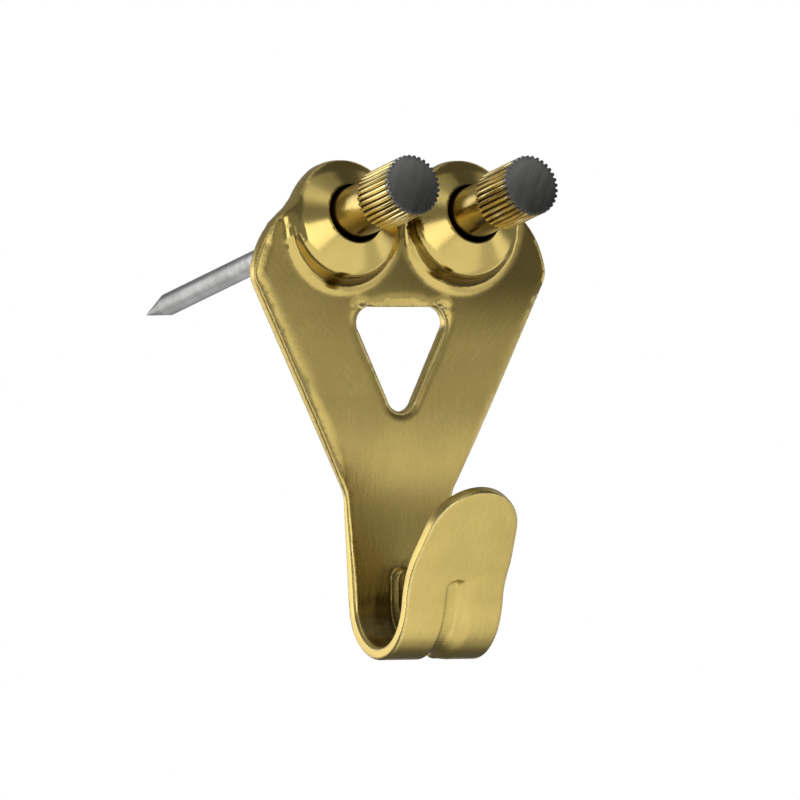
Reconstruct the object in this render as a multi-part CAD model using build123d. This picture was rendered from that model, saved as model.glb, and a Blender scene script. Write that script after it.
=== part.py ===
from build123d import *
import math
import os

# Picture hook: one stamped sheet-steel hook, hung on two steel nails with knurled brass heads.
# Millimetres. X to the right, Y into the wall, Z up. The origin is on the back face of the
# sheet, on the centre line, at the neck where the flared plate meets the strap.

# Sheet
sheet = 1.1               # thickness of the stamped sheet
front_bevel = 0.22        # bevel of the front edges
back_bevel = 0.13         # bevel that breaks the back edges

# Flared plate, seen from the front
neck_spread = 0.465       # the neck reaches this far past the strap on each side
flare_slope = 0.507       # sideways run of each slanted side for each mm of height
shoulder_radius = 7.4     # big arc of each shoulder
shoulder_reach = 6.8      # sideways place of that arc's centre
shoulder_height = 17.3    # height of that arc's centre above the neck
shoulder_corner = 2.0     # rounding where the slanted side turns into the shoulder arc
lobe_cut = 0.15           # how far the lobe round each nail hole cuts into the edge of its boss
lobe_blend = 4.0          # hollow rounding between shoulder and lobe
valley_rise = 2.0         # centre of the hollow rounding between the lobes, above the nails
neck_blend = 3.0          # hollow rounding at the neck

# Triangular window, standing on its point
window_top = 15.35        # height of its top edge
window_width = 10.06      # width of the top edge, measured to the sharp corners
window_depth = 10.25      # from the top edge down to the sharp lower corner
window_corner = 1.3       # rounding of its three corners
dip_width = 8.6           # width of the shallow dip that the punch leaves over the top edge
dip_rise = 1.15           # height of the dip above the top edge
dip_depth = 0.24          # depth of the dip at the top edge

# Nail places
nail_pitch = 11.42        # distance between the two nail axes
nail_height = 22.55       # height at which a nail axis crosses the front face
nail_slope = 13.9         # degrees by which the nails point down into the wall

# Domed bosses pressed out of the sheet, square to the nails
boss_rise = 2.2           # from the front face to the rim of the nail seat, along the nail axis
boss_radius = 5.0         # radius of the sharp edge between the sloping crown and the wall
boss_crown = 27.0         # slope of the crown from the seat outwards, degrees
boss_draft = 6.0          # slope of the wall, degrees
boss_drop = 0.1           # how far the boss sits below its nail's axis
boss_round = 0.9          # rounding of the shoulder between crown and wall
shoulder_facets = 3       # narrow bevels that make up that rounding
boss_foot = 0.45          # height and width of the flare at the foot of the wall
boss_sheet = 0.9          # sheet left in the boss after it is drawn
hollow_bevel = 0.4        # bevel inside the hollow boss, left by the edge of the punch

# Countersunk seats in the bosses for the noses of the nail heads
seat_radius = 2.5         # radius of the seat at its rim
seat_angle = 30.0         # slope of the seat to the nail axis, degrees
seat_bevel = 0.08         # bevel at the rim of the seat

# Strap, bend and lip of the hook
strap_length = 8.9        # from the neck down to the start of the bend
strap_width = 9.32        # width where the bend starts, and round the bend
bend_radius = 3.6         # inside radius of the bend
lip_turn = 31.0           # degrees by which the lip leans out
lip_turn_radius = 5.0     # radius of that turn on the outer face
lip_parallel = 0.7        # the lip keeps the strap's width for this far
lip_blend = 6.0           # easy curve where the lip begins to narrow
lip_length = 7.6          # straight length of the lip to its tip
lip_inset = 0.41          # the lip's round end lies this far inside the strap's width

# Stiffening rib through the bend: a groove outside, a ridge inside
rib_width = 1.9           # width of the groove
rib_depth = 0.6           # depth of the groove's flat floor, and height of the ridge's flat top
rib_ease = 0.02           # how far the radius of the rib's sides exceeds half its width
rib_spread = 0.15         # how much wider the ridge is than the groove, on each side
rib_above_bend = 1.8      # how far the rib's straight part runs up the strap above the bend
rib_on_lip = 11.0         # degrees of the lip's turn that the rib's middle line reaches

# Nails
shank_radius = 0.94       # round steel shank
tang_radius = 0.75        # thinner upper end, pressed into the brass head
nail_below = 32.1         # from the front face to the tip of the point, along the axis
point_length = 3.6        # length of the conical point
point_flat = 0.06         # radius of the blunt tip
head_stand = 11.35        # from the front face to the end of the head, along the axis
grip_length = 4.96        # knurled grip together with its end cap
grip_radius = 2.5         # radius over the teeth
tooth_count = 32          # straight teeth round the grip
tooth_depth = 0.2         # depth of the grooves between them
tooth_land = 0.4          # share of the tooth pitch that stays at full radius
tooth_root = 0.15         # share of the tooth pitch at the bottom of a groove
collar_gap = 0.3          # the smooth collar over the boss clears the rim of the seat by this
collar_round = 0.2        # rounding of the collar's lower edge
nose_length = 0.8         # how far the head reaches below the boss face
cap_thickness = 0.4       # dark cap on the end of the grip

# Values that follow
half_pitch = nail_pitch / 2
half_strap = strap_width / 2
half_neck = half_strap + neck_spread
lip_radius = half_strap - lip_inset
bend_outer = bend_radius + sheet
lip_turn_middle = -2 * bend_outer - lip_turn_radius
slope = math.radians(nail_slope)
lean = math.radians(lip_turn)
boss_spread = math.tan(math.radians(boss_draft))
crown_fall = math.tan(math.radians(boss_crown))
crown_edge = boss_rise - (boss_radius - seat_radius) * crown_fall
seat_spread = math.tan(math.radians(seat_angle))
grip_start = head_stand - grip_length
nose_end = boss_rise - nose_length
collar_radius = seat_radius - collar_gap
cap_start = head_stand - cap_thickness
lobe_radius = boss_radius - lobe_cut
valley_radius = math.hypot(half_pitch, valley_rise) - lobe_radius
sides = {"left": -1, "right": 1}


def nail_plane(side):
    """Plane across a nail axis where it crosses the front face; its normal runs to the head."""
    direction = (0, -math.cos(slope), math.sin(slope))
    return Plane(origin=(side * half_pitch, -sheet, nail_height), x_dir=(1, 0, 0), z_dir=direction)


def turned(side, *points):
    """Solid of revolution about a nail axis, from (radius, distance along the axis) points."""
    profile = make_face(Plane.XZ * Polyline(*points, close=True))
    return nail_plane(side).location * revolve(profile, Axis.Z)


def ring_edge(solid, side, radius, along):
    """The edge nearest to a circle about a nail axis."""
    on_circle = nail_plane(side) * Pos(-radius, 0, along)
    return solid.edges().sort_by_distance(on_circle.position)[0]


def edges_at(solid, low, high):
    """Edges of an upright plate that run front to back, between two heights."""
    return [edge for edge in solid.edges().filter_by(Axis.Y) if low < edge.center().Z < high]


def plate_outline():
    """Front view of the flared plate and the strap, with its corners still sharp."""
    tall = nail_height + 2 * lobe_radius
    wide = half_neck + flare_slope * tall
    wedge = Polygon(
        (-half_strap, -strap_length),
        (half_strap, -strap_length),
        (half_neck, 0),
        (wide, tall),
        (-wide, tall),
        (-half_neck, 0),
        align=None,
    )
    reach = shoulder_reach + shoulder_radius
    valley_middle = nail_height + valley_rise
    cover = Pos(0, (shoulder_height - strap_length) / 2) * Rectangle(2 * reach, shoulder_height + strap_length)
    cover += Polygon(
        (-shoulder_reach, shoulder_height),
        (shoulder_reach, shoulder_height),
        (half_pitch, nail_height),
        (0, valley_middle),
        (-half_pitch, nail_height),
        align=None,
    )
    for side in sides.values():
        cover += Pos(side * shoulder_reach, shoulder_height) * Circle(shoulder_radius)
        cover += Pos(side * half_pitch, nail_height) * Circle(lobe_radius)
    cover -= Pos(0, valley_middle) * Circle(valley_radius)
    return wedge & cover


def lobe_corners(prism):
    """Upright edges where the lobes meet the shoulders, outside the nail axes."""
    corners = []
    for edge in prism.edges().filter_by(Axis.Y):
        out = abs(edge.center().X) - half_pitch
        reach = math.hypot(out, edge.center().Z - nail_height)
        if out > 0 and math.isclose(reach, lobe_radius, abs_tol=0.001):
            corners.append(edge)
    return corners


def plate_prism(depth):
    """The plate's outline with its rounded corners, from the back face forward by a depth."""
    prism = extrude(Plane.XZ * plate_outline(), amount=depth)
    upright = prism.edges().filter_by(Axis.Y).sort_by(Axis.X)
    prism = fillet([upright[0], upright[-1]], shoulder_corner)
    prism = fillet(lobe_corners(prism), lobe_blend)
    return fillet(edges_at(prism, -0.01, 0.01), neck_blend)


def boss_shoulder():
    """Points of the rounding from the boss wall to the crown, as (radius, distance along the axis)."""
    first = math.radians(boss_draft)
    last = math.radians(90 - boss_crown)
    reach = boss_round / math.cos((last - first) / 2)
    radius = boss_radius - reach * math.cos((last + first) / 2)
    along = crown_edge - reach * math.sin((last + first) / 2)
    points = []
    for step in range(shoulder_facets + 1):
        turn = first + (last - first) * step / shoulder_facets
        points.append((radius + boss_round * math.cos(turn), along + boss_round * math.sin(turn)))
    return points


def boss(side):
    """Boss in front of the sheet: a drawn wall, a round shoulder and a sloping crown, on a flare."""
    low = -boss_radius
    foot = boss_radius + boss_spread * crown_edge
    rim = (seat_radius, boss_rise)
    wall = turned(side, (0, low), (foot - boss_spread * low, low), *boss_shoulder(), rim, (0, boss_rise))
    flare = Cone(foot + boss_foot + sheet, foot, boss_foot + sheet)
    wall += Pos(side * half_pitch, -(sheet + boss_foot) / 2, nail_height) * Rot(90, 0, 0) * flare
    return Pos(0, 0, -boss_drop) * wall


def boss_hollow(side):
    """Hollow that the punch leaves behind the boss, with a roof that follows the crown."""
    low = -2 * boss_radius
    top = boss_rise - boss_sheet / math.cos(math.radians(boss_crown))
    radius = boss_radius - boss_sheet
    edge = top - (radius - seat_radius) * crown_fall
    mouth = radius + boss_spread * (edge - low)
    body = turned(side, (0, low), (mouth, low), (radius, edge), (seat_radius, top), (0, top))
    return Pos(0, 0, -boss_drop) * chamfer(ring_edge(body, side, radius, edge), hollow_bevel)


def nail_seat(side):
    """Countersunk hole in the boss face, narrowing towards the wall, with a bevelled mouth."""
    over = sheet
    bottom = boss_rise - seat_radius / seat_spread
    neck = seat_radius - seat_spread * seat_bevel
    mouth = neck + (seat_bevel + over) * math.tan(math.radians(2 * seat_angle))
    return turned(
        side,
        (0, bottom),
        (neck, boss_rise - seat_bevel),
        (mouth, boss_rise + over),
        (0, boss_rise + over),
    )


def window():
    """Prism of the triangular window."""
    half = window_width / 2
    corners = [(-half, window_top), (0, window_top - window_depth), (half, window_top)]
    prism = extrude(Plane.XZ * Polygon(*corners, align=None), amount=sheet)
    return fillet(prism.edges().filter_by(Axis.Y), window_corner)


def bend():
    """Half turn of the strap at the bottom of the hook."""
    section = Pos(0, -sheet / 2, -strap_length) * Rectangle(strap_width, sheet)
    return revolve(section, Axis((0, -bend_outer, -strap_length), (-1, 0, 0)), 180)


def lip():
    """Lip in front: a short turn outwards, then a flat tongue with a round end."""
    section = Pos(0, sheet / 2 - 2 * bend_outer, -strap_length) * Rectangle(strap_width, sheet)
    turn = revolve(section, Axis((0, lip_turn_middle, -strap_length), (1, 0, 0)), lip_turn)
    start_y = lip_turn_middle + lip_turn_radius * math.cos(lean)
    start_z = lip_turn_radius * math.sin(lean) - strap_length
    outer_face = Plane(origin=(0, start_y, start_z), x_dir=(1, 0, 0), z_dir=(0, -math.cos(lean), -math.sin(lean)))
    straight = Pos(0, lip_parallel / 2) * Rectangle(strap_width, lip_parallel)
    end = Pos(0, lip_length - lip_radius) * Circle(lip_radius)
    outline = make_hull(straight.edges() + end.edges())
    outline &= Pos(0, lip_length / 2) * Rectangle(strap_width, lip_length)
    tongue = extrude(outline, amount=-sheet)
    edges = [edge for edge in tongue.edges().filter_by(Axis.Z) if 0 < edge.center().Y < lip_parallel + 0.1]
    return turn + outer_face.location * fillet(edges, lip_blend)


def bent_line(outside, above_bend, on_lip):
    """Line down the strap, round the bend and onto the lip, a distance outside the outer face."""
    strap = Line((outside, above_bend - strap_length), (outside, -strap_length))
    around = CenterArc((-bend_outer, -strap_length), bend_outer + outside, 0, -180)
    turn = CenterArc((lip_turn_middle, -strap_length), lip_turn_radius - outside, 0, on_lip)
    return Plane.YZ * (strap + around + turn)


def round_bar(radius, outside):
    """Round bar along the rib's line, with ball ends."""
    line = bent_line(outside, rib_above_bend, rib_on_lip)
    section = Plane(origin=line @ 0, z_dir=line % 0) * Circle(radius)
    bar = sweep(section, path=line)
    for end in (line @ 0, line @ 1):
        bar += Pos(end) * Sphere(radius)
    return bar


def bent_slab(inner, outer):
    """Wide strip along the rib's line, between two distances inside the outer face."""
    line = bent_line(0, 2 * rib_above_bend, 2 * rib_on_lip)
    section = Pos(0, -(inner + outer) / 2, line.position_at(0).Z) * Rectangle(strap_width, inner - outer)
    return sweep(section, path=line)


def rib_groove():
    """Groove that the rib leaves in the outer face, with rounded sides and a flat floor."""
    radius = rib_width / 2 + rib_ease
    middle = math.sqrt(radius**2 - rib_width**2 / 4)
    return round_bar(radius, middle) - bent_slab(2 * sheet, rib_depth)


def rib_ridge():
    """Ridge that the rib raises on the inner face, cut off halfway into the sheet."""
    half = rib_width / 2 + rib_spread
    radius = half + rib_ease
    middle = math.sqrt(radius**2 - half**2)
    bar = round_bar(radius, middle - sheet)
    return bar - bent_slab(sheet / 2, -sheet) - bent_slab(3 * sheet, sheet + rib_depth)


def window_dip():
    """Large drum, leaning forward, that only grazes the sheet above the window."""
    radius = (dip_width**2 / 4 + dip_depth**2) / (2 * dip_depth)
    lean_forward = math.degrees(math.atan2(dip_depth, dip_rise))
    drum = Rot(lean_forward, 0, 0) * Pos(0, -radius, 0) * Cylinder(radius, 6 * dip_rise)
    above = Pos(0, 0, dip_rise) * Box(2 * dip_width, 2 * sheet, 2 * dip_rise)
    return Pos(0, dip_depth - sheet, window_top) * (drum & above)


def hook_plate():
    """The stamped hook, one sheet from the lobes to the lip."""
    hook = plate_prism(sheet) + bend() + lip()
    hook = chamfer(slanted_edge(hook, -sheet), front_bevel)
    hook = chamfer(slanted_edge(hook, 0), back_bevel)
    hook += rib_ridge()
    hook -= rib_groove()
    hook -= window()
    hook = chamfer(window_edges(hook, -sheet), front_bevel)
    hook = chamfer(window_edges(hook, 0), back_bevel)
    hook -= window_dip()
    outline = plate_prism(nail_pitch)
    for side in sides.values():
        hook += boss(side) & outline
        hook -= boss_hollow(side)
        hook -= nail_seat(side)
    return hook


def window_edges(hook, depth):
    """The window's top edge on one face; its bevel runs on round the window."""
    level = hook.edges().filter_by_position(Axis.Y, depth, depth).filter_by(Axis.X)
    return level.filter_by_position(Axis.Z, window_top, window_top)


def slanted_edge(hook, depth):
    """One long straight edge of the flared plate; its bevel runs on round the whole outline."""
    straight = hook.edges().filter_by_position(Axis.Y, depth, depth).filter_by(GeomType.LINE)
    return straight.sort_by(SortBy.LENGTH)[-1]


def nail_shank(side):
    """Steel nail: a round shank with a conical point, and a tang inside the brass head."""
    tip = -nail_below
    base = tip + point_length
    return turned(
        side,
        (0, tip),
        (point_flat, tip),
        (shank_radius, base),
        (shank_radius, nose_end),
        (tang_radius, nose_end),
        (tang_radius, cap_start),
        (0, cap_start),
    )


def toothed_face():
    """Section of the grip: straight teeth with flat lands, and flat-bottomed grooves between them."""
    pitch = 2 * math.pi / tooth_count
    floor = grip_radius - tooth_depth
    corners = []
    for tooth in range(tooth_count):
        corners.append((grip_radius, pitch * (tooth - tooth_land / 2)))
        corners.append((grip_radius, pitch * (tooth + tooth_land / 2)))
        corners.append((floor, pitch * (tooth + 0.5 - tooth_root / 2)))
        corners.append((floor, pitch * (tooth + 0.5 + tooth_root / 2)))
    outline = [(radius * math.cos(turn), radius * math.sin(turn)) for radius, turn in corners]
    return Polygon(*outline, align=None)


def nail_head(side):
    """Brass head: nose seated in the boss, smooth collar, and knurled grip."""
    nose_radius = seat_radius - seat_spread * nose_length
    widest = boss_rise - (seat_radius - collar_radius) / seat_spread
    collar = turned(
        side,
        (tang_radius, nose_end),
        (nose_radius, nose_end),
        (collar_radius, widest),
        (collar_radius, grip_start),
        (tang_radius, grip_start),
    )
    collar = fillet(ring_edge(collar, side, collar_radius, widest), collar_round)
    grip = extrude(toothed_face() - Circle(tang_radius), amount=cap_start - grip_start)
    return collar + nail_plane(side).location * Pos(0, 0, grip_start) * grip


def head_cap(side):
    """Dark cap on the end of the grip, with the same teeth."""
    return nail_plane(side).location * Pos(0, 0, cap_start) * extrude(toothed_face(), amount=cap_thickness)


os.makedirs("parts", exist_ok=True)
export_step(hook_plate(), "parts/hook_plate.step")
for name, side in sides.items():
    export_step(nail_shank(side), f"parts/{name}_nail_shank.step")
    export_step(nail_head(side), f"parts/{name}_nail_head.step")
    export_step(head_cap(side), f"parts/{name}_head_cap.step")
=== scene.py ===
import math

import bmesh
import bpy
from mathutils import Matrix, Vector, bvhtree, kdtree


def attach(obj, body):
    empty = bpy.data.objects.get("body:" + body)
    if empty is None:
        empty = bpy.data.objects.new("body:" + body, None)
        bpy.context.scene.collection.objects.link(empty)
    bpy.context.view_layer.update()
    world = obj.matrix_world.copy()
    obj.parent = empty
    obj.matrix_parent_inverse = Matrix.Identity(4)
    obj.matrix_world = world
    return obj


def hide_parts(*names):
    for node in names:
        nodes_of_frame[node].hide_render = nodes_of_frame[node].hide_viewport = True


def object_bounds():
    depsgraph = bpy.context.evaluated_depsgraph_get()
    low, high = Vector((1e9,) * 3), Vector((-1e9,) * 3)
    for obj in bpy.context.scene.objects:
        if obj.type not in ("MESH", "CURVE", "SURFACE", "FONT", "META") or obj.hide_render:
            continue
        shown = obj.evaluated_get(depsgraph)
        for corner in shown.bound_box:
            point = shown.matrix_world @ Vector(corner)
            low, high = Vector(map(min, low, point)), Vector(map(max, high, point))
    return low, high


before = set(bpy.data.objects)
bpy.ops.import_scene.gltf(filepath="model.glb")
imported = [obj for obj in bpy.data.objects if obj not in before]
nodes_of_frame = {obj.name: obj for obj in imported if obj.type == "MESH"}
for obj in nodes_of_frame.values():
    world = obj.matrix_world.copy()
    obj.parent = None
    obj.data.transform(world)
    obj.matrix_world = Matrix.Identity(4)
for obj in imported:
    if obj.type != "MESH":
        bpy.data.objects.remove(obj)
cad_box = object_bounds()
scene = bpy.context.scene


# Camera. It looks at the front of the hook from its left, level with it, through a long lens, so
# that the plate is seen a third turned and its outline is almost free of perspective.
look_from = math.radians(-31.936)
look_down = math.radians(0.111)
camera_roll = math.radians(-0.173)
camera_distance = 1.3
aim = Vector((-0.000209, -0.0011, 0.0077))
sight = Vector(
    (
        math.sin(look_from) * math.cos(look_down),
        -math.cos(look_from) * math.cos(look_down),
        math.sin(look_down),
    )
)

camera_data = bpy.data.cameras.new("camera")
camera_data.sensor_width = 36
camera_data.lens = 711.6
camera_data.clip_start = 0.1
camera_data.clip_end = 20
camera = bpy.data.objects.new("camera", camera_data)
scene.collection.objects.link(camera)
turn = sight.to_track_quat("Z", "Y").to_matrix().to_4x4() @ Matrix.Rotation(camera_roll, 4, "Z")
camera.matrix_world = Matrix.Translation(aim + sight * camera_distance) @ turn
scene.camera = camera


# Floor, lamps and sky of the studio. The floor is a white board that runs forward from under the
# lip. The room that polished metal mirrors is dim, with soft bright openings, and the eye sees
# plain white behind the hook.
scene.view_settings.view_transform = "Standard"
floor_drop = 0.016
floor_reach = 0.22
floor_ahead = 0.13
board_in_front = 1.05
board_painted_shadow = 0.12
board_behind = 0.9
board_shade = 0.33
room_level = 0.26
diffuse_level = 0.7

floor_mesh = bpy.data.meshes.new("floor")
shape = bmesh.new()
bmesh.ops.create_grid(shape, x_segments=1, y_segments=1, size=floor_reach)
bmesh.ops.translate(shape, verts=shape.verts, vec=(0, -floor_ahead, cad_box[0][2] - floor_drop))
shape.to_mesh(floor_mesh)
shape.free()
floor = bpy.data.objects.new("floor", floor_mesh)
scene.collection.objects.link(floor)


def new_material(name):
    """A node material with its Principled shader, and the node tree to build the rest in."""
    material = bpy.data.materials.new(name)
    material.use_nodes = True
    tree = material.node_tree
    return material, tree, tree.nodes["Principled BSDF"]


def node(tree, kind, **settings):
    """A new node with its settings."""
    made = tree.nodes.new(kind)
    for key, value in settings.items():
        setattr(made, key, value)
    return made


def feed(tree, socket, value):
    """Gives a socket its value: the output of a node, or a plain number or colour."""
    if isinstance(value, bpy.types.NodeSocket):
        tree.links.new(value, socket)
    else:
        socket.default_value = value


def sum_of(tree, operation, *values):
    """Output of a Math node; the values are outputs of nodes or plain numbers."""
    made = node(tree, "ShaderNodeMath", operation=operation)
    for socket, value in zip(made.inputs, values):
        feed(tree, socket, value)
    return made.outputs[0]


def eased(tree, value, start, end, low=0.0, high=1.0):
    """Value turned into a soft step, from low at start to high at end."""
    made = node(tree, "ShaderNodeMapRange", interpolation_type="SMOOTHSTEP")
    made.inputs["From Min"].default_value = start
    made.inputs["From Max"].default_value = end
    made.inputs["To Min"].default_value = low
    made.inputs["To Max"].default_value = high
    tree.links.new(value, made.inputs["Value"])
    return made.outputs["Result"]


def place_on_piece(tree):
    """Object coordinates of a piece: the vector, and its x, y and z."""
    place = node(tree, "ShaderNodeTexCoord").outputs["Object"]
    parts = node(tree, "ShaderNodeSeparateXYZ")
    tree.links.new(place, parts.inputs[0])
    return place, *parts.outputs


# In a mirror the board is bright in front, with a painted shadow under the hook, bright again far
# behind it, and a painted shaded strip that runs out to the front right.
floor_material, tree, shader = new_material("white board")
shader.inputs["Base Color"].default_value = (0.9, 0.9, 0.9, 1)
shader.inputs["Roughness"].default_value = 0.8
shader.inputs["Specular IOR Level"].default_value = 0.2
place, x, y, z = place_on_piece(tree)
board_level = eased(tree, y, -0.016, 0.0, board_in_front, board_painted_shadow)
board_back = eased(tree, y, 0.033, 0.045, 0.0, board_behind)
board_turn = sum_of(tree, "ARCTAN2", x, sum_of(tree, "MULTIPLY", y, -1))
shade_start = eased(tree, board_turn, math.radians(36), math.radians(46))
shade_end = eased(tree, board_turn, math.radians(64), math.radians(76), 1.0, 0.0)
shade = sum_of(tree, "MULTIPLY", shade_start, shade_end)
shade_left = sum_of(tree, "MULTIPLY_ADD", shade, -board_shade, 1.0)
board_front = sum_of(tree, "MULTIPLY", board_level, shade_left)
white_board = node(tree, "ShaderNodeEmission")
tree.links.new(sum_of(tree, "ADD", board_front, board_back), white_board.inputs["Strength"])
rays = node(tree, "ShaderNodeLightPath")
mirrored = node(tree, "ShaderNodeMixShader")
tree.links.new(rays.outputs["Is Glossy Ray"], mirrored.inputs["Fac"])
tree.links.new(shader.outputs[0], mirrored.inputs[1])
tree.links.new(white_board.outputs[0], mirrored.inputs[2])
tree.links.new(mirrored.outputs[0], tree.nodes["Material Output"].inputs["Surface"])
floor.data.materials.append(floor_material)


def direction(azimuth, height):
    """Unit vector towards a place round the hook; azimuth 0 is straight in front, left is minus."""
    side = math.radians(azimuth)
    lift = math.radians(height)
    return Vector((math.sin(side) * math.cos(lift), -math.cos(side) * math.cos(lift), math.sin(lift)))


def lamp(name, azimuth, height, size, power, distance=0.5):
    """A square soft lamp that faces the hook."""
    data = bpy.data.lights.new(name, "AREA")
    data.shape = "SQUARE"
    data.size = size
    data.energy = power
    lamp_object = bpy.data.objects.new(name, data)
    lamp_object.location = aim + direction(azimuth, height) * distance
    lamp_object.rotation_euler = direction(azimuth, height).to_track_quat("Z", "Y").to_euler()
    scene.collection.objects.link(lamp_object)


lamp("key lamp", azimuth=-24, height=3, size=0.28, power=0.4)
lamp("left lamp", azimuth=-121, height=0, size=0.26, power=0.32)
lamp("top lamp", azimuth=-50, height=72, size=0.45, power=0.15)

world = bpy.data.worlds.new("studio")
world.use_nodes = True
scene.world = world
tree = world.node_tree
background = tree.nodes["Background"]
background.inputs["Color"].default_value = (1, 1, 1, 1)
sky_place = node(tree, "ShaderNodeTexCoord")


def sky_patch(azimuth, height, inner, outer, strength):
    """A soft round patch of sky: its strength inside, nothing outside, between two angles."""
    dot = node(tree, "ShaderNodeVectorMath", operation="DOT_PRODUCT")
    dot.inputs[1].default_value = direction(azimuth, height)
    tree.links.new(sky_place.outputs["Generated"], dot.inputs[0])
    outside = math.cos(math.radians(outer))
    inside = math.cos(math.radians(inner))
    return eased(tree, dot.outputs["Value"], outside, inside, 0.0, strength)


level = room_level
for patch in (
    sky_patch(azimuth=-12, height=47, inner=4, outer=15, strength=0.4),
    sky_patch(azimuth=-153, height=-8, inner=18, outer=32, strength=1.2),
    sky_patch(azimuth=66, height=-5, inner=5, outer=16, strength=0.9),
    sky_patch(azimuth=105, height=32, inner=5, outer=22, strength=0.4),
    sky_patch(azimuth=36, height=-4, inner=8, outer=20, strength=0.16),
    sky_patch(azimuth=50, height=46, inner=18, outer=42, strength=-0.17),
    sky_patch(azimuth=-68, height=38, inner=12, outer=30, strength=-0.12),
):
    level = sum_of(tree, "ADD", level, patch)

rays = node(tree, "ShaderNodeLightPath")
seen = sum_of(tree, "MAXIMUM", rays.outputs["Is Camera Ray"], rays.outputs["Is Transmission Ray"])
glossy = node(tree, "ShaderNodeMix", data_type="FLOAT")
glossy.inputs["A"].default_value = diffuse_level
tree.links.new(rays.outputs["Is Glossy Ray"], glossy.inputs["Factor"])
tree.links.new(level, glossy.inputs["B"])
final = node(tree, "ShaderNodeMix", data_type="FLOAT")
tree.links.new(seen, final.inputs["Factor"])
tree.links.new(glossy.outputs["Result"], final.inputs["A"])
final.inputs["B"].default_value = 1.0
tree.links.new(final.outputs["Result"], background.inputs["Strength"])


# Stamped hook: one piece of sheet steel, blanked, bent and ribbed in a press, then plated with a
# thin coat of satin brass. Blanking pulls the front edges down in a soft slope, and drawing
# leaves round shoulders on the bosses and soft radii at their feet.
sheet = 0.0011
nail_across = 0.00571
nail_up = 0.02255
nail_slope = math.radians(13.9)
nail_axis = Vector((0, -math.cos(nail_slope), math.sin(nail_slope)))
bosses_above = 0.012
boss_drop = 0.0001
boss_rise = 0.0022
boss_radius = 0.005
boss_round = 0.001
boss_foot = 0.00075
crown_slope = math.radians(27)
wall_draft = math.radians(6)
seat_radius = 0.0025
crown_edge = boss_rise - (boss_radius - seat_radius) * math.tan(crown_slope)
back_spacing = 0.0005
front_spacing = 0.00028
boss_spacing = 0.0002
boss_zone = 0.0067
flat_turn = 0.01
sharp_turn = 0.5


def mark_corners(shape):
    """Marks edges whose faces are not flat to each other as seams, which refining keeps."""
    for edge in shape.edges:
        edge.seam = edge.calc_face_angle(1.0) > flat_turn


def merged_copy(piece):
    """A bmesh of a CAD piece with its loose triangles joined and its corners marked as seams."""
    copy = bmesh.new()
    copy.from_mesh(piece.data)
    bmesh.ops.remove_doubles(copy, verts=copy.verts, dist=1e-7)
    copy.normal_update()
    mark_corners(copy)
    return copy


def soften(shape, points, passes):
    """Moves points towards the middle of their neighbours."""
    for again in range(passes):
        bmesh.ops.smooth_vert(
            shape, verts=points, factor=0.5, use_axis_x=True, use_axis_y=True, use_axis_z=True
        )


def refine(shape, limit, coarse):
    """Divides edges longer than the limit at their place, then evens out the flat triangles."""
    long_edges = []
    for edge in shape.edges:
        middle = (edge.verts[0].co + edge.verts[1].co) / 2
        if edge.calc_length() > limit(middle) * coarse:
            long_edges.append(edge)
    bmesh.ops.subdivide_edges(shape, edges=long_edges, cuts=1)
    bmesh.ops.triangulate(shape, faces=[face for face in shape.faces if len(face.verts) > 3])
    for again in range(3):
        inner = [edge for edge in shape.edges if not edge.seam]
        bmesh.ops.beautify_fill(shape, faces=shape.faces, edges=inner, method="AREA")
        free = [point for point in shape.verts if not any(edge.seam for edge in point.link_edges)]
        soften(shape, free, 1)


def round_nail(place, up):
    """Radius and height of a place about the nearer nail axis, and its direction from the axis."""
    side = 1 if place.x > 0 else -1
    away = place - Vector((side * nail_across, -sheet, up))
    height = away.dot(nail_axis)
    outward = away - nail_axis * height
    return outward.length, height, outward.normalized()


def clear_of_wall(radius, height):
    """How far a place about a nail axis stands clear of the drafted wall of its boss."""
    return radius - boss_radius - (crown_edge - height) * math.tan(wall_draft)


def hook_limit(place):
    """Longest edge of the finished hook at a place: fine on the bosses, coarse at the back."""
    if place.y > -0.0008:
        return back_spacing
    if place.z > bosses_above and round_nail(place, nail_up)[0] < boss_zone:
        return boss_spacing
    return front_spacing


def boss_profile():
    """Fine points of the profile of a boss: wall, round shoulder and sloping crown."""
    arc_steps = 40
    wall_run = 0.002
    first = wall_draft
    last = math.pi / 2 - crown_slope
    reach = boss_round / math.cos((last - first) / 2)
    turn_away = Vector((math.cos((last + first) / 2), math.sin((last + first) / 2)))
    middle = Vector((boss_radius, crown_edge)) - reach * turn_away
    arc = []
    for step in range(arc_steps + 1):
        turn = first + (last - first) * step / arc_steps
        arc.append(middle + boss_round * Vector((math.cos(turn), math.sin(turn))))
    foot = arc[0] + wall_run * Vector((math.sin(wall_draft), -math.cos(wall_draft)))
    top = Vector((seat_radius, boss_rise))
    return [foot] + arc + [top]


def limited(value, least=0):
    """A value kept between the least and 1."""
    return min(1, max(least, value))


def nearest(line, place):
    """The nearest place on a line of points in a plane."""
    found = None
    for start, end in zip(line, line[1:]):
        along = end - start
        share = limited((place - start).dot(along) / along.length_squared)
        spot = start + along * share
        if found is None or (spot - place).length < (found - place).length:
            found = spot
    return found


shape = merged_copy(nodes_of_frame["hook_plate"])
for coarse in (16, 8, 4, 2, 1):
    refine(shape, hook_limit, coarse)

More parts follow.
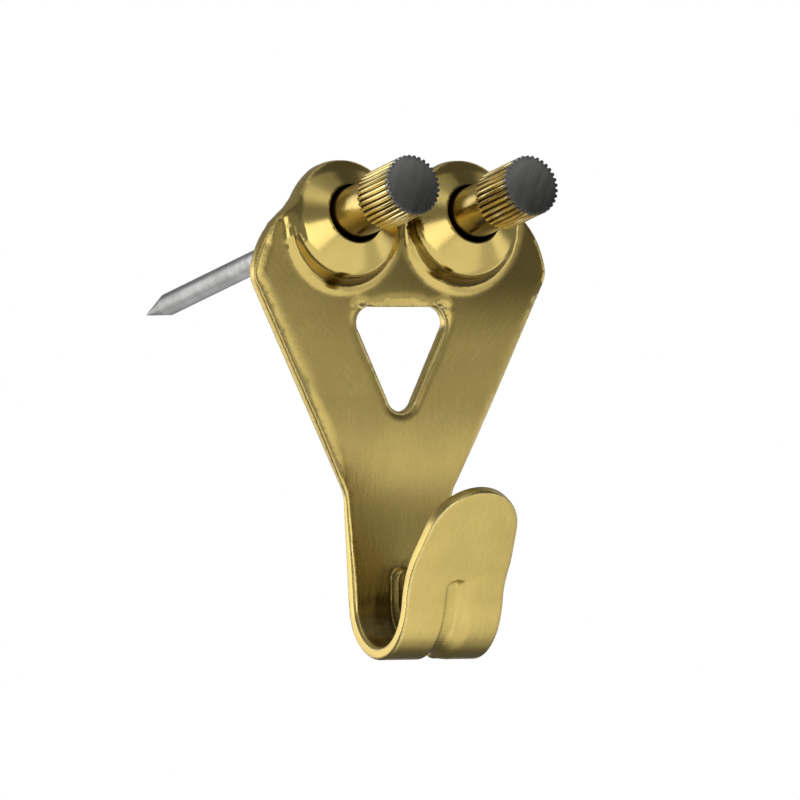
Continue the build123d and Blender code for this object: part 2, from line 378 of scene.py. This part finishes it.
# The rim is the line where the flat front of the plate meets its cut edges.
front = {face for face in shape.faces if all(abs(point.co.y + sheet) < 1e-7 for point in face.verts)}
front_points = {point for face in front for point in face.verts}
rim = []
for edge in shape.edges:
    beside = [face for face in edge.link_faces if face not in front]
    if len(beside) == 1 and edge.calc_face_angle(0) > sharp_turn:
        if any(point.co.y > 1e-6 - sheet for point in beside[0].verts):
            rim.append([point.co.copy() for point in edge.verts])
rim_steps = 4
rim_tree = kdtree.KDTree(len(rim) * rim_steps)
for number, (start, end) in enumerate(rim):
    for step in range(rim_steps):
        rim_tree.insert(start.lerp(end, step / rim_steps), number)
rim_tree.balance()

# Each boss gets its true round profile, and a hollow radius at its foot. The radius is smaller
# where the wall is low or the rim near, and runs out beside the lobes.
profile_reach = 0.00016
low_wall_foot = 0.95
near_rim_foot = 0.7
foot_end = 0.0226
profile = boss_profile()
for point in shape.verts:
    if point.co.z < bosses_above or point.co.y > 0.00002 - sheet:
        continue
    radius, height, outward = round_nail(point.co, nail_up - boss_drop)
    ahead = -sheet - point.co.y
    if ahead > 0.0003 and radius > seat_radius + 0.0001 and height < boss_rise:
        spot = nearest(profile, Vector((radius, height)))
        if (spot - Vector((radius, height))).length < profile_reach:
            point.co += outward * (spot.x - radius) + nail_axis * (spot.y - height)
            radius, height, outward = round_nail(point.co, nail_up - boss_drop)
            ahead = -sheet - point.co.y
    clear = clear_of_wall(radius, height)
    wall_height = crown_edge * math.cos(nail_slope) - boss_radius * outward.y
    to_rim = rim_tree.find(point.co)[2]
    foot = min(boss_foot, low_wall_foot * (wall_height - 0.6 * boss_round), near_rim_foot * to_rim)
    if abs(point.co.x) > nail_across:
        foot = min(foot, max(0, (foot_end - point.co.z) * 0.5))
    if foot > 0.0001 and -0.0001 < clear < foot and ahead < foot:
        from_middle = Vector((clear - foot, ahead - foot))
        spot = from_middle.normalized() * foot
        shift = spot - from_middle
        point.co += outward * shift.x + Vector((0, -shift.y, 0))

# Above the nails the crowns run out over the lobes, and the sheet falls with them to the rim.
roll_depth = 0.0003
crown_run = 0.0035
crown_end = 0.0054
crown_fade = 0.0004
for point in shape.verts:
    radius, height, outward = round_nail(point.co, nail_up - boss_drop)
    falling = (boss_rise - (radius - seat_radius) * math.tan(crown_slope)) * math.cos(nail_slope)
    falling -= radius * outward.y
    ahead = -sheet - point.co.y
    if point.co.z > nail_up and radius > crown_run and ahead > -roll_depth and falling < ahead:
        fade = limited((crown_end - radius) / crown_fade)
        point.co.y = -sheet - ahead - (max(falling, -roll_depth) - ahead) * fade

# The neck is very slightly hollow, and the lip draws back a little where it runs into the bend.
neck_dip = 0.0004
neck_middle = -0.0003
neck_spread = 0.0042
lip_ease = 0.0003
lip_start = -0.0047
lip_reach = 0.0033
bend_start = -0.0069
bend_reach = 0.004
for point in shape.verts:
    if -0.002 < point.co.y < -0.0002:
        front_share = min(1, -point.co.y / sheet)
        dip_share = math.exp(-(((point.co.z - neck_middle) / neck_spread) ** 2))
        point.co.y += neck_dip * front_share * dip_share
    if point.co.y < lip_start:
        out = min(1, (lip_start - point.co.y) / lip_reach)
        down = limited((bend_start - point.co.z) / bend_reach)
        point.co.y += lip_ease * out * down * down * (3 - 2 * down)

# Pressing leaves soft forms, so the front is smoothed, most of all at the feet of the bosses,
# beside the lobes and along the right side of the bend and lip.
calm_turn = 0.4
calm_above = -0.001
foot_band = 0.0011
foot_above = 0.0125
lobe_flank = ((0.0101, 0.0118), (0.0206, 0.0247))
bend_ahead = -0.0048
bend_up = -0.0088
bend_skin = 0.00385
lip_front = -0.0085


def in_zone(place, across, up):
    """Whether a place lies in a band across, on either side of the middle, and in a band up."""
    return across[0] < abs(place.x) < across[1] and up[0] < place.z < up[1]


shape.normal_update()
calm = []
for point in shape.verts:
    if point.co.y < 0.00005 - sheet and point.co.z > calm_above:
        if all(edge.calc_face_angle(0) < calm_turn for edge in point.link_edges):
            calm.append(point)
soften(shape, calm, 3)
at_foot = []
for point in calm:
    from_wall = round_nail(point.co, nail_up)[0] - boss_radius
    if 0 < from_wall < foot_band and point.co.z > foot_above:
        at_foot.append(point)
soften(shape, at_foot, 5)
beside_lobe = []
for point in shape.verts:
    if in_zone(point.co, *lobe_flank) and point.co.y < -0.0006:
        beside_lobe.append(point)
soften(shape, beside_lobe, 16)
easy_side = []
for point in shape.verts:
    if 0.0003 < point.co.x < 0.0017 and point.co.z < -0.006:
        from_bend = math.hypot(point.co.y - bend_ahead, point.co.z - bend_up)
        in_bend = from_bend > bend_skin and point.co.z < bend_up and point.co.y < -0.004
        if in_bend or point.co.y < lip_front:
            easy_side.append(point)
soften(shape, easy_side, 30)
soften(shape, shape.verts, 1)

# Blanking rolls the front edges over: widest up the left side and over the top of the window, and
# narrow on the right. The roll runs out on the strap below and on the lobes above.
roll_width = 0.0009
roll_power = 1.3
narrow_roll = 0.33
window_roll = 0.6
least_roll = 0.01
window_half = 0.0045
side_start = 0.0005
side_reach = 0.0025
window_start = 0.0135
window_reach = 0.0015
strap_end = -0.0075
strap_reach = 0.003
lobe_end = 0.0222
lobe_reach = 0.0015
for point in front_points:
    spot, number, near = rim_tree.find(point.co)
    share = narrow_roll
    if spot.x < -window_half:
        share += (1 - narrow_roll) * limited((spot.z - side_start) / side_reach)
    elif spot.x < window_half:
        share = window_roll + (1 - window_roll) * limited((spot.z - window_start) / window_reach)
    below = limited((spot.z - strap_end) / strap_reach, least_roll)
    above = limited((lobe_end - spot.z) / lobe_reach, least_roll)
    share *= min(below, above)
    on_lobe = point.co.z > nail_up and round_nail(point.co, nail_up)[0] < boss_radius
    if near < roll_width * share and not on_lobe:
        point.co.y += roll_depth * share * (1 - near / (roll_width * share)) ** roll_power

# The plate above the upper corners of the window is drawn soft, up to the rolled edge.
window_corner = ((0.0026, 0.0046), (0.0149, 0.0164))
rolled_edge = 0.0004
corners = []
for point in shape.verts:
    if in_zone(point.co, *window_corner) and point.co.y < -0.0007:
        if rim_tree.find(point.co)[2] > rolled_edge:
            corners.append(point)
soften(shape, corners, 5)

shelter_reach = 0.009
off_surface = 0.00003
past_back = 0.00002
look_count = 18
looks = []
for step in range(look_count):
    lift = math.sqrt((step + 0.5) / look_count)
    spin = step * math.pi * (3 - math.sqrt(5))
    flat = math.sqrt(1 - lift * lift)
    looks.append((flat * math.cos(spin), flat * math.sin(spin), lift))
whole = bmesh.new()
for piece in nodes_of_frame.values():
    whole.from_mesh(piece.data)
whole_tree = bvhtree.BVHTree.FromBMesh(whole)
whole.free()


def mark_shade_by_shelter(shape):
    """Marks how much other metal stands close round each point, for shade painted darker there."""
    painted_shade = shape.verts.layers.float.new("painted_shade")
    shape.normal_update()
    for point in shape.verts:
        normal = point.normal
        side = normal.orthogonal().normalized()
        other = normal.cross(side)
        hits = 0
        for a, b, c in looks:
            look = side * a + other * b + normal * c
            start = point.co + normal * off_surface
            for again in range(2):
                found, facing, number, far = whole_tree.ray_cast(start, look, shelter_reach)
                if found is None:
                    break
                if facing.dot(look) < 0:
                    hits += 1
                    break
                start = found + look * past_back
        point[painted_shade] = hits / look_count
    return painted_shade


def lean_to(outward, side, middle):
    """How far a wall leans to a side, from 0 to 1, and the middle where it leans neither way."""
    return limited(middle + 1.2 * outward.dot(side))


# Painted shade: the places where other metal stands close round, the lower right of the boss walls
# and the upper right of the plate are painted darker brown, as shade. The bosses and the plate
# close round them are polished.
lip_shelter = 0.4
wall_dark_side = Vector((0.75, 0, -0.66))
wall_painted_shade = 0.56
polish_end = 0.0064
polish_fade = 0.0006
least_right_shade = 0.22
most_right_shade = 0.3
right_shade_start = -0.021
right_shade_across = 0.029
right_shade_below = 0.0115
right_shade_rise = 0.006
painted_shade = mark_shade_by_shelter(shape)
polish = shape.verts.layers.float.new("polish")
painted_seat_shade = shape.verts.layers.float.new("painted_seat_shade")
worn = shape.verts.layers.float.new("worn")
for point in shape.verts:
    sharpest = max(edge.calc_face_angle(0) for edge in point.link_edges)
    point[worn] = min(1, sharpest / sharp_turn)
    # The lip gets less painted shade.
    if point.co.y < lip_front:
        point[painted_shade] *= lip_shelter
    if point.co.z > bosses_above and point.co.y < 0.0001 - sheet:
        radius, height, outward = round_nail(point.co, nail_up)
        # Painted shade on the lower right of each boss wall.
        turned_away = lean_to(outward, wall_dark_side, 0.45)
        on_wall = abs(clear_of_wall(radius, height)) < 0.0003
        if on_wall and height < crown_edge - boss_round * 0.35:
            point[painted_shade] = max(point[painted_shade], wall_painted_shade * turned_away)
        point[polish] = limited((polish_end - radius) / polish_fade)
        # Painted shade, growing towards the upper right of the plate, away from the polished bosses.
        right_shade = limited((point.co.x - right_shade_start) / right_shade_across)
        right_shade *= limited((point.co.z - right_shade_below) / right_shade_rise)
        right_shade *= 1 - point[polish]
        right_shade_amount = least_right_shade * min(1, right_shade * 10) + most_right_shade * right_shade
        point[painted_shade] = max(point[painted_shade], right_shade_amount)
        # The inside of the seat is marked for painted shade, near black.
        if radius < seat_radius - 0.00004:
            point[painted_seat_shade] = 1
for face in shape.faces:
    face.smooth = True
plate_mesh = bpy.data.meshes.new("stamped hook")
shape.to_mesh(plate_mesh)
shape.free()
hook = bpy.data.objects.new("stamped_hook", plate_mesh)
scene.collection.objects.link(hook)
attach(hook, "root")
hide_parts("hook_plate")


def new_group(name, inputs, outputs):
    """A node group with named inputs and outputs, and its two end nodes."""
    tree = bpy.data.node_groups.new(name, "ShaderNodeTree")
    for socket, kind in inputs.items():
        tree.interface.new_socket(socket, in_out="INPUT", socket_type="NodeSocket" + kind)
    for socket, kind in outputs.items():
        tree.interface.new_socket(socket, in_out="OUTPUT", socket_type="NodeSocket" + kind)
    return tree, tree.nodes.new("NodeGroupInput"), tree.nodes.new("NodeGroupOutput")


def noise(tree, vector, scale, detail, roughness):
    """Factor of a Noise Texture on a vector."""
    made = node(tree, "ShaderNodeTexNoise")
    made.inputs["Scale"].default_value = scale
    made.inputs["Detail"].default_value = detail
    made.inputs["Roughness"].default_value = roughness
    tree.links.new(vector, made.inputs["Vector"])
    return made.outputs["Fac"]


def scaled(tree, value, factor):
    """A value times a factor."""
    return sum_of(tree, "MULTIPLY", value, factor)


def weighed(tree, first, first_weight, second, second_weight):
    """Two values added, each times its weight."""
    return sum_of(tree, "ADD", scaled(tree, first, first_weight), scaled(tree, second, second_weight))


brushing, start, end = new_group("brushing", {"Vector": "Vector"}, {"Grain": "Float"})
fine = noise(brushing, start.outputs["Vector"], scale=1.0, detail=3.0, roughness=0.6)
broad = noise(brushing, start.outputs["Vector"], scale=0.3, detail=2.0, roughness=0.5)
grain = weighed(brushing, fine, 0.6, broad, 0.4)
brushing.links.new(eased(brushing, grain, 0.3, 0.7, -1.0, 1.0), end.inputs["Grain"])

edge_inputs = {"Vector": "Vector", "Edge": "Float"}
edge_wear, start, end = new_group("edge wear", edge_inputs, {"Mask": "Float"})
patchy = noise(edge_wear, start.outputs["Vector"], scale=900.0, detail=3.0, roughness=0.6)
rubbed = sum_of(edge_wear, "ADD", start.outputs["Edge"], scaled(edge_wear, patchy, 0.8))
edge_wear.links.new(eased(edge_wear, rubbed, 0.9, 1.6), end.inputs["Mask"])

clouding, start, end = new_group("clouding", {"Vector": "Vector"}, {"Cloud": "Float"})
cloud = noise(clouding, start.outputs["Vector"], scale=260.0, detail=4.0, roughness=0.55)
clouding.links.new(eased(clouding, cloud, 0.3, 0.7), end.inputs["Cloud"])


def place_group(tree, group, **links):
    """A group placed in a material, with its inputs linked; gives its first output."""
    made = node(tree, "ShaderNodeGroup", node_tree=group)
    for name, output in links.items():
        tree.links.new(output, made.inputs[name])
    return made.outputs[0]


def attribute(tree, name):
    """A value kept at the points of a mesh."""
    return node(tree, "ShaderNodeAttribute", attribute_name=name).outputs["Fac"]


def blend(tree, factor, first, second):
    """Colour blended from first to second; each is a colour or the output of a node."""
    made = node(tree, "ShaderNodeMix", data_type="RGBA")
    tree.links.new(factor, made.inputs["Factor"])
    feed(tree, made.inputs[6], first)
    feed(tree, made.inputs[7], second)
    return made.outputs[2]


def vector_of(tree, x, y, z):
    """A vector from three outputs or numbers."""
    made = node(tree, "ShaderNodeCombineXYZ")
    for socket, value in zip(made.inputs, (x, y, z)):
        feed(tree, socket, value)
    return made.outputs[0]


def finish_metal(tree, shader, colour, rough, grain, relief, depth):
    """Gives a shader bare metal of a colour and a roughness, with its grain as fine relief."""
    tree.links.new(colour, shader.inputs["Base Color"])
    tree.links.new(rough, shader.inputs["Roughness"])
    shader.inputs["Metallic"].default_value = 1
    bump = node(tree, "ShaderNodeBump")
    bump.inputs["Strength"].default_value = relief
    bump.inputs["Distance"].default_value = depth
    tree.links.new(grain, bump.inputs["Height"])
    tree.links.new(bump.outputs["Normal"], shader.inputs["Normal"])


# The brushing runs along the strap, round the bend and up the lip. Above the neck it spreads
# like a fan.
brass = (0.70, 0.54, 0.175, 1)
dull_brass = (0.58, 0.44, 0.14, 1)
bare_brass = (0.78, 0.63, 0.27, 1)
painted_shade_brown = (0.14, 0.10, 0.03, 1)
seat_shade_black = (0.08, 0.055, 0.015, 1)
most_painted_shade = 0.92

plate_material, tree, shader = new_material("satin brass plate")
place, x, y, z = place_on_piece(tree)
above = sum_of(tree, "MAXIMUM", sum_of(tree, "SUBTRACT", z, 0.008), 0.0)
across = sum_of(tree, "DIVIDE", x, sum_of(tree, "ADD", above, 0.004))
fan = vector_of(tree, scaled(tree, across, 150), scaled(tree, z, 1300), 0.0)
run = sum_of(tree, "SUBTRACT", z, y)
upright = vector_of(tree, scaled(tree, x, 9000), scaled(tree, run, 1100), 0.0)
brushed = node(tree, "ShaderNodeMix", data_type="FLOAT")
tree.links.new(eased(tree, z, 0.005, 0.012), brushed.inputs["Factor"])
tree.links.new(place_group(tree, brushing, Vector=upright), brushed.inputs["A"])
tree.links.new(place_group(tree, brushing, Vector=fan), brushed.inputs["B"])
satin = sum_of(tree, "SUBTRACT", 1.0, scaled(tree, attribute(tree, "polish"), 0.75))
grain = sum_of(tree, "MULTIPLY", brushed.outputs["Result"], satin)
cloud = place_group(tree, clouding, Vector=place)
wear = place_group(tree, edge_wear, Vector=place, Edge=attribute(tree, "worn"))
toned = sum_of(tree, "MULTIPLY_ADD", grain, 0.22, 0.25)
toned = sum_of(tree, "ADD", toned, scaled(tree, cloud, -0.3))
colour = blend(tree, eased(tree, toned, -0.35, 0.65, 1.0, 0.0), brass, dull_brass)
colour = blend(tree, wear, colour, bare_brass)
# Painted shade: the marked places turn dark brown, and the inside of the seat near black.
dark = eased(tree, attribute(tree, "painted_shade"), 0.22, 0.56, 0.0, most_painted_shade)
colour = blend(tree, dark, colour, painted_shade_brown)
colour = blend(tree, attribute(tree, "painted_seat_shade"), colour, seat_shade_black)
rough = sum_of(tree, "MULTIPLY_ADD", attribute(tree, "polish"), -0.13, 0.27)
rough = sum_of(tree, "ADD", rough, scaled(tree, grain, 0.03))
rough = sum_of(tree, "ADD", rough, scaled(tree, cloud, 0.03))
finish_metal(tree, shader, colour, rough, grain, relief=0.25, depth=0.000012)
hook.data.materials.append(plate_material)


# Nail heads: brass turned on a lathe, with a smooth collar that seats in the boss and a knurled
# grip with flat teeth. The lower ends of the teeth are chamfered, and the grooves are painted
# dark as shade, like the lower right of each head.
grip_start = 0.00639
grip_radius = 0.0025
tooth_depth = 0.0002
tooth_chamfer = 0.00014
tooth_ease = 0.00003
collar_start = 0.00168
collar_radius = 0.0022
collar_taper = 0.0002
collar_rings = 8
dark_side = Vector((0.45, 0, -0.9))
axis_up = 0.24
axis_ahead = -0.97
head_brass = (0.72, 0.56, 0.20, 1)
head_dull = (0.60, 0.45, 0.15, 1)
head_bare = (0.80, 0.66, 0.32, 1)
groove_painted_shade = (0.07, 0.045, 0.012, 1)


def sharp_edges(shape, least):
    """Edges that stand out by at least an angle."""
    return [edge for edge in shape.edges if edge.is_convex and edge.calc_face_angle(0) > least]


def round_edges(shape, edges, width):
    """Rounds edges with two narrow facets."""
    bmesh.ops.bevel(
        shape,
        geom=edges,
        offset=width,
        offset_type="OFFSET",
        segments=2,
        profile=0.5,
        affect="EDGES",
        clamp_overlap=True,
        material=-1,
    )


def finish_turned(shape, name, piece_name):
    """Makes a turned part's mesh, smooth except at its corners, in the place of its CAD piece."""
    painted_shade = mark_shade_by_shelter(shape)
    worn = shape.verts.layers.float.new("worn")
    for point in shape.verts:
        sharpest = max((edge.calc_face_angle(0) for edge in point.link_edges), default=0)
        point[worn] = min(1, sharpest / sharp_turn)
        radius, height, outward = round_nail(point.co, nail_up)
        # Painted shade is kept mostly to the lower right side, and the collar below the grip gets
        # more of it.
        turned_away = lean_to(outward, dark_side, 0.5)
        point[painted_shade] *= 0.25 + 0.75 * turned_away
        if height < grip_start:
            point[painted_shade] = max(point[painted_shade], 0.5 * turned_away)
    for face in shape.faces:
        face.smooth = True
    for edge in shape.edges:
        edge.smooth = edge.calc_face_angle(0) < math.radians(38)
    mesh = bpy.data.meshes.new(name)
    shape.to_mesh(mesh)
    shape.free()
    made = bpy.data.objects.new(name, mesh)
    scene.collection.objects.link(made)
    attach(made, "root")
    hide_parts(piece_name)
    return made


head_material, tree, shader = new_material("turned brass")
place, x, y, z = place_on_piece(tree)
rise = weighed(tree, z, axis_up, y, axis_ahead)
lathe = vector_of(tree, scaled(tree, x, 300), scaled(tree, rise, 9000), 0.0)
grain = place_group(tree, brushing, Vector=lathe)
cloud = place_group(tree, clouding, Vector=place)
wear = place_group(tree, edge_wear, Vector=place, Edge=attribute(tree, "worn"))
toned = weighed(tree, cloud, 0.5, grain, -0.15)
colour = blend(tree, eased(tree, toned, -0.1, 0.6), head_brass, head_dull)
colour = blend(tree, wear, colour, head_bare)
# Painted shade: the marked places turn dark brown, and the grooves between the teeth near black.
dark = eased(tree, attribute(tree, "painted_shade"), 0.2, 0.5, 0.0, most_painted_shade)
colour = blend(tree, dark, colour, painted_shade_brown)
root = eased(tree, attribute(tree, "groove"), 0.6, 1.0)
colour = blend(tree, root, colour, groove_painted_shade)
rough = sum_of(tree, "MULTIPLY_ADD", cloud, 0.05, 0.16)
rough = sum_of(tree, "ADD", rough, scaled(tree, root, 0.25))
finish_metal(tree, shader, colour, rough, grain, relief=0.12, depth=0.000008)

for name in ("left", "right"):
    shape = merged_copy(nodes_of_frame[name + "_nail_head"])
    bmesh.ops.dissolve_limit(shape, angle_limit=math.radians(1), verts=shape.verts, edges=shape.edges)
    lower_ends = []
    for edge in sharp_edges(shape, sharp_turn):
        middle = (edge.verts[0].co + edge.verts[1].co) / 2
        radius, height, outward = round_nail(middle, nail_up)
        if abs(height - grip_start) < 0.00002 and radius > grip_radius - tooth_depth / 2:
            lower_ends.append(edge)
    round_edges(shape, lower_ends, tooth_chamfer)
    shape.normal_update()
    round_edges(shape, sharp_edges(shape, sharp_turn), tooth_ease)
    for step in range(collar_rings + 1):
        ring = collar_start + 0.0002 + (grip_start - collar_start - 0.0003) * step / collar_rings
        bmesh.ops.bisect_plane(
            shape,
            geom=list(shape.verts) + list(shape.edges) + list(shape.faces),
            plane_co=Vector((0, -sheet, nail_up)) + nail_axis * ring,
            plane_no=nail_axis,
        )
    groove = shape.verts.layers.float.new("groove")
    for point in shape.verts:
        radius, height, outward = round_nail(point.co, nail_up)
        if abs(radius - collar_radius) < 0.00003 and collar_start < height < grip_start:
            share = (height - collar_start) / (grip_start - collar_start)
            point.co -= outward * collar_taper * share ** 1.5
        if height > grip_start - 0.00005 and radius < grip_radius - tooth_depth * 0.6:
            point[groove] = 1
    head = finish_turned(shape, name + "_brass_head", name + "_nail_head")
    head.data.materials.append(head_material)


# Nail shanks: drawn steel wire with a long cone for a point. The wire is smooth and grey, with
# faint lines along it. The right nail's point is a little shorter, and ends behind the plate.
right_point_shorter = 0.0014
point_length = 0.0003
steel = (0.42, 0.42, 0.415, 1)
grey_steel = (0.32, 0.32, 0.316, 1)
worn_steel = (0.66, 0.66, 0.65, 1)

steel_material, tree, shader = new_material("drawn steel")
place, x, y, z = place_on_piece(tree)
rise = weighed(tree, z, axis_up, y, axis_ahead)
beside = weighed(tree, z, -axis_ahead, y, axis_up)
drawn = vector_of(tree, scaled(tree, x, 7000), scaled(tree, rise, 250), scaled(tree, beside, 7000))
grain = place_group(tree, brushing, Vector=drawn)
cloud = place_group(tree, clouding, Vector=place)
wear = place_group(tree, edge_wear, Vector=place, Edge=attribute(tree, "worn"))
toned = weighed(tree, cloud, 0.6, grain, -0.3)
colour = blend(tree, eased(tree, toned, -0.2, 0.7), steel, grey_steel)
colour = blend(tree, wear, colour, worn_steel)
rough = sum_of(tree, "MULTIPLY_ADD", cloud, 0.08, 0.36)
finish_metal(tree, shader, colour, rough, grain, relief=0.2, depth=0.00001)

for name in ("left", "right"):
    shape = merged_copy(nodes_of_frame[name + "_nail_shank"])
    if name == "right":
        tip = min(point.co.dot(nail_axis) for point in shape.verts)
        for point in shape.verts:
            if point.co.dot(nail_axis) < tip + point_length:
                point.co += nail_axis * right_point_shorter
    shank = finish_turned(shape, name + "_steel_shank", name + "_nail_shank")
    shank.data.materials.append(steel_material)


# End caps of the heads: thin dark discs with the same teeth as the grip, pressed on its end. They
# are blackened metal with faint brushing, and slightly dished, with a sheen painted lighter
# towards the upper left.
cap_end = 0.01135
cap_dish = 0.00022
cap_spacing = 0.00035
sheen_side = Vector((-0.8, 0, 0.6))
cap_black = (0.10, 0.10, 0.098, 1)
cap_grey = (0.42, 0.42, 0.40, 1)
worn_cap = (0.16, 0.16, 0.155, 1)

cap_material, tree, shader = new_material("blackened cap")
place, x, y, z = place_on_piece(tree)
slant = weighed(tree, x, 0.85, z, -0.5)
along = weighed(tree, x, 0.5, z, 0.85)
brushed = vector_of(tree, scaled(tree, slant, 7000), scaled(tree, along, 500), 0.0)
grain = place_group(tree, brushing, Vector=brushed)
cloud = place_group(tree, clouding, Vector=place)
wear = place_group(tree, edge_wear, Vector=place, Edge=attribute(tree, "worn"))
toned = weighed(tree, cloud, 0.1, grain, 0.12)
# The painted sheen makes the cap lighter towards the upper left.
toned = sum_of(tree, "ADD", toned, scaled(tree, attribute(tree, "painted_sheen"), 0.9))
colour = blend(tree, toned, cap_black, cap_grey)
colour = blend(tree, scaled(tree, wear, 0.4), colour, worn_cap)
rough = sum_of(tree, "MULTIPLY_ADD", grain, 0.05, 0.45)
finish_metal(tree, shader, colour, rough, grain, relief=0.15, depth=0.00001)


def cap_limit(place):
    """Longest edge of a cap, the same all over."""
    return cap_spacing


for name in ("left", "right"):
    shape = merged_copy(nodes_of_frame[name + "_head_cap"])
    bmesh.ops.dissolve_limit(shape, angle_limit=math.radians(1), verts=shape.verts, edges=shape.edges)
    round_edges(shape, sharp_edges(shape, sharp_turn), tooth_ease)
    bmesh.ops.triangulate(shape, faces=shape.faces)
    shape.normal_update()
    mark_corners(shape)
    for coarse in (8, 4, 2, 1):
        refine(shape, cap_limit, coarse)
    painted_sheen = shape.verts.layers.float.new("painted_sheen")
    for point in shape.verts:
        radius, height, outward = round_nail(point.co, nail_up)
        # Painted sheen: points towards the upper left are marked to be painted lighter.
        lean = outward.dot(sheen_side) * radius / grip_radius
        point[painted_sheen] = limited(0.5 + 0.6 * lean)
        if height > cap_end - 0.00006:
            point.co -= nail_axis * cap_dish * (1 - min(1, radius / grip_radius) ** 2)
    cap = finish_turned(shape, name + "_black_cap", name + "_head_cap")
    cap.data.materials.append(cap_material)
